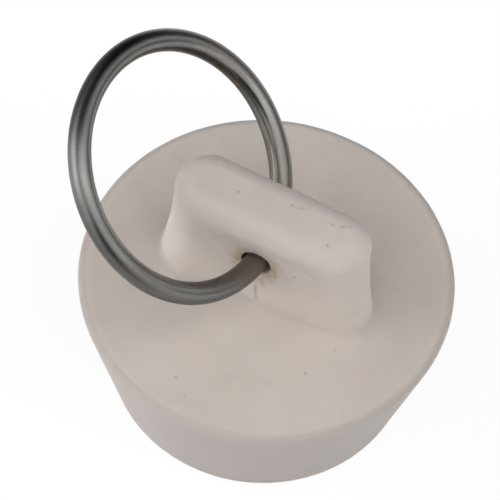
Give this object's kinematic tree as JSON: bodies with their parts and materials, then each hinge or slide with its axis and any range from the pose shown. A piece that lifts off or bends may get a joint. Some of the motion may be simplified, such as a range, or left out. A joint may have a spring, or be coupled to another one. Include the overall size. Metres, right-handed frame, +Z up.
{
  "type": "drain stopper",
  "caption": "Tapered rubber sink stopper with a waisted moulded grip and a steel wire pull ring that swings in the grip's hole.",
  "frame": {"origin": "centre of the plug's flat underside", "axes": "+Z up out of the drain along the plug's axis, +X along the grip, +Y along the ring's hole"},
  "size_m": [0.0275, 0.0264, 0.0266],
  "materials": {
    "moulded_rubber": "matt off-white moulded rubber with a faint warm grey mottle, small pits and rust stain at the hole",
    "ring_steel": "dull grey drawn steel wire with streaks along its length"
  },
  "bodies": {
    "stopper": {"stopper_body": "moulded_rubber"},
    "ring": {"pull_ring": "ring_steel"}
  },
  "joints": [
    {"name": "ring_swing", "type": "hinge", "parent": "stopper", "child": "ring", "pos_m": [-0.0004, 0, 0.0143], "axis": [0, 1, 0], "range_deg": [-56, 152]}
  ]
}
